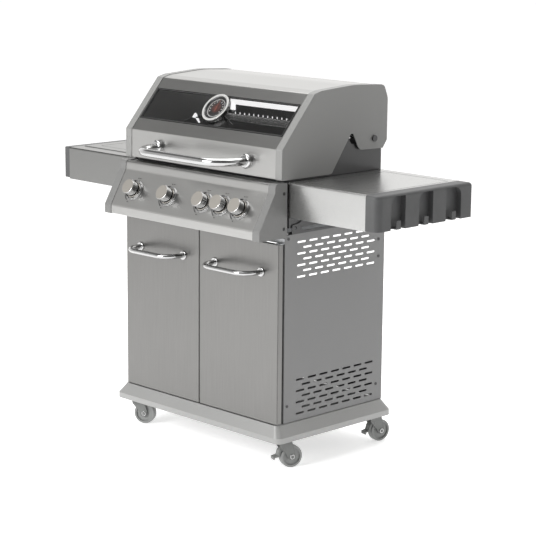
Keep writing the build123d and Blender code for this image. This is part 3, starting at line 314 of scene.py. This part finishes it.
# ---------------------------------------------------------------- printed and fitted details
class Relief:
    """Thin closed shapes laid on a plane: u runs along it, v up it and w out of it."""

    def __init__(self, origin, u, w):
        self.origin = Vector(origin)
        self.u = Vector(u).normalized()
        self.w = Vector(w).normalized()
        self.v = self.w.cross(self.u)
        self.mesh = bmesh.new()

    def at(self, u, v, w):
        return self.mesh.verts.new(self.origin + self.u * u + self.v * v + self.w * w)

    def across(self, centre, side, radius, width, low, high):
        """Section of a band: up, over with softened edges, and down, at a radius from a centre."""
        soft = min(width * 0.2, (high - low) * 0.5)
        half = width / 2
        section = (
            (-half, low), (-half, high - soft), (soft - half, high),
            (half - soft, high), (half, high - soft), (half, low),
        )
        return [
            self.at(centre[0] + side[0] * (radius + d), centre[1] + side[1] * (radius + d), w)
            for d, w in section
        ]

    def loft(self, rings, closed):
        """Faces between successive rings of vertices, capped at the ends or closed into a ring."""
        count = len(rings)
        for i in range(count if closed else count - 1):
            a, b = rings[i], rings[(i + 1) % count]
            for k in range(len(a)):
                self.mesh.faces.new((a[k], a[(k + 1) % len(a)], b[(k + 1) % len(a)], b[k]))
        if not closed:
            self.mesh.faces.new(rings[0][::-1])
            self.mesh.faces.new(rings[-1])

    def arc(self, centre, radius, width, low, high, start=0.0, end=360.0, steps=72):
        """Flat band along an arc, with softened upper edges. Angles are in degrees."""
        whole = abs(end - start) >= 359.9
        rings = []
        for i in range(steps if whole else steps + 1):
            a = math.radians(start + (end - start) * i / steps)
            rings.append(self.across(centre, (math.cos(a), math.sin(a)), radius, width, low, high))
        self.loft(rings, whole)

    def disc(self, centre, radius, low, high, steps=32):
        """Disc with a softened upper edge."""
        soft = min(radius * 0.2, (high - low) * 0.5)
        rings = []
        turns = [math.tau * i / steps for i in range(steps)]
        for r, w in ((radius, low), (radius, high - soft), (radius - soft, high)):
            rings.append([
                self.at(centre[0] + math.cos(a) * r, centre[1] + math.sin(a) * r, w)
                for a in turns
            ])
        self.loft(rings, False)

    def strip(self, a, b, width, low, high):
        """Straight bar from a to b, with softened upper edges."""
        run = Vector((b[0] - a[0], b[1] - a[1])).normalized()
        self.loft([self.across(p, (-run.y, run.x), 0.0, width, low, high) for p in (a, b)], False)

    def loop(self, u0, u1, v0, v1, radius, width, low, high, steps=8):
        """Rectangular band with rounded corners, drawn along its centre line."""
        rings = []
        corners = ((u1, v1, -1, -1), (u0, v1, 1, -1), (u0, v0, 1, 1), (u1, v0, -1, 1))
        for turn, (u, v, inwards_u, inwards_v) in enumerate(corners):
            centre = (u + inwards_u * radius, v + inwards_v * radius)
            for i in range(steps + 1):
                a = math.radians(90 * turn + 90 * i / steps)
                rings.append(self.across(centre, (math.cos(a), math.sin(a)), radius, width, low, high))
        self.loft(rings, True)

    def done(self, name, material, body):
        bmesh.ops.recalc_face_normals(self.mesh, faces=self.mesh.faces)
        data = bpy.data.meshes.new(name)
        self.mesh.to_mesh(data)
        self.mesh.free()
        data.materials.append(MATERIALS[material])
        piece = bpy.data.objects.new(name, data)
        scene.collection.objects.link(piece)
        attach(piece, body)
        return piece


def middle(node):
    lo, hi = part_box(node)
    return (Vector(lo) + Vector(hi)) / 2


MM = 0.001
RIGHTWARDS = (1, 0, 0)
PRINT = 0.25 * MM
SUNK = -0.1 * MM  # how far a printed mark goes into the surface that it lies on

# The knobs' centres on the fascia, from the box of the bezels, whose discs stand in its slope
BEZEL_R = 34.0 * MM
bezel_lo, bezel_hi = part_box("knob_bezels")
panel_y = bezel_hi[1] - BEZEL_R * math.cos(PANEL_SLOPE) + SUNK * math.sin(PANEL_SLOPE)
panel_z = bezel_lo[2] + BEZEL_R * math.sin(PANEL_SLOPE) - SUNK * math.cos(PANEL_SLOPE)
MARK_R = BEZEL_R + 6.5 * MM
for number in range(1, 6):
    marks = Relief((middle(f"knob_{number}").x, panel_y, panel_z), RIGHTWARDS, PANEL_NORMAL)
    marks.disc((-4 * MM, MARK_R), 1.8 * MM, SUNK, PRINT)
    marks.strip((1 * MM, MARK_R), (9 * MM, MARK_R + 1 * MM), 1.3 * MM, SUNK, PRINT)
    marks.arc((0, 0), MARK_R, 2.0 * MM, SUNK, PRINT, 202, 240, steps=16)
    marks.disc((-14 * MM, -MARK_R), 1.8 * MM, SUNK, PRINT)
    marks.done(f"knob_marks_{number}", "ink", "stand")

# Thermometer dial: black face, light ring and red centre on the floor of the housing, and a silver
# scale ring on the housing's rim, in front of the lens
DIAL_BELOW_LENS = 4.4 * MM
SHEET = 0.3 * MM
dial_at = middle("thermometer_lens") - WINDOW_NORMAL * DIAL_BELOW_LENS


def dial():
    return Relief(dial_at, RIGHTWARDS, WINDOW_NORMAL)


plate = dial()
plate.arc((0, 0), 20.5 * MM, 32 * MM, 0, SHEET)
plate.done("dial_plate", "dial_black", "hood")
scale_ring = dial()
RIM_LOW, RIM_HIGH = 5.9 * MM, 6.6 * MM
scale_ring.arc((0, 0), 45.6 * MM, 7.8 * MM, RIM_LOW, RIM_HIGH)
scale_ring.done("dial_scale_ring", "dial_silver", "hood")
inner_ring = dial()
inner_ring.arc((0, 0), 32.0 * MM, 2.2 * MM, SHEET, SHEET + 0.25 * MM)
for degrees_round in range(-30, 211, 24):
    a = math.radians(degrees_round)
    inner_ring.strip(
        (math.cos(a) * 22 * MM, math.sin(a) * 22 * MM),
        (math.cos(a) * 27.5 * MM, math.sin(a) * 27.5 * MM),
        2.4 * MM, SHEET, SHEET + 0.2 * MM,
    )
inner_ring.done("dial_inner_ring", "dial_white", "hood")
red_zone = dial()
red_zone.arc((0, 0), 11.0 * MM, 12.6 * MM, SHEET, SHEET + 0.2 * MM)
red_zone.done("dial_red_zone", "dial_red", "hood")
ticks = dial()
for i in range(60):
    a = math.radians(6 * i)
    inner = 42.6 if i % 5 else 42.2
    ticks.strip(
        (math.cos(a) * inner * MM, math.sin(a) * inner * MM),
        (math.cos(a) * 45.0 * MM, math.sin(a) * 45.0 * MM),
        1.1 * MM, RIM_HIGH, RIM_HIGH + 0.15 * MM,
    )
ticks.done("dial_ticks", "ink", "hood")

# Black border printed round the pane's edge
glass_lo, glass_hi = (Vector(c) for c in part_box("hood_glass"))
GLASS_T = 4.0 * MM
pane_up = Vector((0.0, math.cos(WINDOW_SLOPE), math.sin(WINDOW_SLOPE)))
pane_foot = Vector((0.0, glass_lo.y, glass_lo.z + GLASS_T * math.cos(WINDOW_SLOPE)))
pane_height = (glass_hi.z - pane_foot.z) / math.sin(WINDOW_SLOPE)
border = Relief(pane_foot, RIGHTWARDS, WINDOW_NORMAL)
BORDER = 7.0 * MM
middle_line = BORDER / 2
half_pane = (glass_hi.x - glass_lo.x) / 2
border.loop(
    middle_line - half_pane, half_pane - middle_line,
    middle_line, pane_height - middle_line,
    2.5 * MM, BORDER * 0.6, 0, PRINT,
)
border.done("glass_border", "dial_black", "hood")


def pressed_line_shade(name, node, body, insets, radius, width):
    """Dark band round the top of a sheet, painted shade where its pressed line is, with insets in mm
    from its left, right, front and back.
    """
    lo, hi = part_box(node)
    left, right, front, rear = (inset * MM for inset in insets)
    line = Relief((0, 0, hi[2]), RIGHTWARDS, (0, 0, 1))
    line.loop(lo[0] + left, hi[0] - right, lo[1] + front, hi[1] - rear, radius, width, SUNK, PRINT)
    line.done(name, "groove_shade", body)


# Painted shade of the pressed lines on the right shelf's top and on the side burner's lid
pressed_line_shade("shelf_groove", "shelf_right_top", "stand", (42, 12, 42, 40), 8 * MM, 1.8 * MM)
pressed_line_shade("lid_emboss_shade", "side_burner_lid", "burner_lid", (44, 44, 40, 40), 10 * MM, 2.2 * MM)

# Bright nuts on the casters' axles, each caster turned its own way, in degrees from the X axis
AXLE_END = 16.3 * MM  # from the middle of a wheel to the outside of its fork
HEADINGS = {"front_left": 30.0, "front_right": 68.0, "rear_left": 55.0, "rear_right": 78.0}
for place, heading in HEADINGS.items():
    a = math.radians(heading)
    forwards = (math.cos(a), math.sin(a), 0)
    for number, sign in enumerate((1, -1), start=1):
        outwards = Vector((math.sin(a), -math.cos(a), 0)) * sign
        nut = Relief(middle(f"caster_wheel_{place}") + outwards * AXLE_END, forwards, outwards)
        nut.arc((0, 0), 6.0 * MM, 3.6 * MM, 0, 2.6 * MM, steps=36)
        nut.done(f"axle_nut_{place}_{number}", "chrome", f"fork_{place}")

# Dark screws in the recesses of the right and left caps of the control panel
SCREW_IN = 13 * MM
SCREW_HEIGHTS = (27 * MM, 133 * MM)
for side, node in ((1, "panel_cap_right"), (-1, "panel_cap_left")):
    cap_lo, cap_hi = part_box(node)
    face_x = cap_hi[0] if side > 0 else cap_lo[0]
    for number, height in enumerate(SCREW_HEIGHTS, start=1):
        screw = Relief((face_x, cap_hi[1] - SCREW_IN, cap_lo[2] + height), (0, side, 0), (side, 0, 0))
        screw.disc((0, 0), 4.2 * MM, -0.2 * MM, 1.0 * MM)
        screw.arc((0, 0), 4.8 * MM, 1.0 * MM, -0.2 * MM, 0.4 * MM, steps=32)
        screw.done(f"cap_screw_{node}_{number}", "dial_black", "stand")

# ---------------------------------------------------------------- studio
def area(name, place, target, size, power):
    light = bpy.data.objects.new(name, bpy.data.lights.new(name, "AREA"))
    light.data.shape = "RECTANGLE"
    light.data.size, light.data.size_y = size
    light.data.energy = power
    light.location = place
    light.rotation_euler = (Vector(target) - Vector(place)).to_track_quat("-Z", "Y").to_euler()
    scene.collection.objects.link(light)


area("overhead", (-0.3, 0.4, 4.4), (0, 0, 0.4), (4.2, 4.2), 165)
area("front", (-0.6, -4.8, 2.6), (0, 0, 0.7), (2.6, 2.0), 200)

floor_mesh = bpy.data.meshes.new("floor")
FLOOR = 30.0
corners = [(-FLOOR, -FLOOR, 0), (FLOOR, -FLOOR, 0), (FLOOR, FLOOR, 0), (-FLOOR, FLOOR, 0)]
floor_mesh.from_pydata(corners, [], [(0, 1, 2, 3)])
floor = bpy.data.objects.new("floor", floor_mesh)
scene.collection.objects.link(floor)
floor_mat = Mat("floor_paper")
floor_mat.to(floor_mat.ramp(floor_mat.noise(2.0), [(0.3, 0.86), (0.7, 0.89)]), "base_color")
floor_mat.set("roughness", 0.9)
floor_mat.set("emission_color", (1.0, 1.0, 1.0))
floor_mat.set("emission_strength", 0.5)
floor_mesh.materials.append(floor_mat.m)

# The studio's walls: bright behind the grill, mid-grey to the left and right, dark around the camera,
# with a dark flag up on the left that the hood's slope mirrors, and a dimmer ceiling
world = bpy.data.worlds.new("studio")
scene.world = world
world.use_nodes = True
wt = world.node_tree
sky_dir = wt.nodes.new("ShaderNodeTexCoord").outputs["Generated"]


def lobe(direction, start, full, low, high):
    """A smooth factor that goes from low to high as the sky's direction nears the given one."""
    dot = wt.nodes.new("ShaderNodeVectorMath")
    dot.operation = "DOT_PRODUCT"
    dot.inputs[1].default_value = Vector(direction).normalized()
    wt.links.new(sky_dir, dot.inputs[0])
    step = wt.nodes.new("ShaderNodeMapRange")
    step.interpolation_type = "SMOOTHSTEP"
    step.inputs["From Min"].default_value = start
    step.inputs["From Max"].default_value = full
    step.inputs["To Min"].default_value = low
    step.inputs["To Max"].default_value = high
    wt.links.new(dot.outputs["Value"], step.inputs["Value"])
    return step.outputs["Result"]


def product(a, b):
    times = wt.nodes.new("ShaderNodeMath")
    times.operation = "MULTIPLY"
    wt.links.new(a, times.inputs[0])
    wt.links.new(b, times.inputs[1])
    return times.outputs["Value"]


to_camera = (back.x, back.y, 0.0)
walls = lobe((-back.x, -back.y, 0.0), -0.2, 0.9, 0.72, 1.25)
walls = product(walls, lobe(to_camera, 0.25, 0.9, 1.0, 0.16))
walls = product(walls, lobe((-0.58, -0.12, 0.80), 0.80, 0.97, 1.0, 0.20))
walls = product(walls, lobe((0, 0, 1), 0.75, 1.0, 1.0, 0.6))
background = wt.nodes["Background"]
wt.links.new(walls, background.inputs["Strength"])
background.inputs["Color"].default_value = (1.0, 0.995, 0.985, 1)
seen = wt.nodes.new("ShaderNodeBackground")
seen.inputs["Color"].default_value = (1, 1, 1, 1)
seen.inputs["Strength"].default_value = 1.0
mixer = wt.nodes.new("ShaderNodeMixShader")
path = wt.nodes.new("ShaderNodeLightPath")
wt.links.new(path.outputs["Is Camera Ray"], mixer.inputs["Fac"])
wt.links.new(background.outputs["Background"], mixer.inputs[1])
wt.links.new(seen.outputs["Background"], mixer.inputs[2])
wt.links.new(mixer.outputs["Shader"], wt.nodes["World Output"].inputs["Surface"])
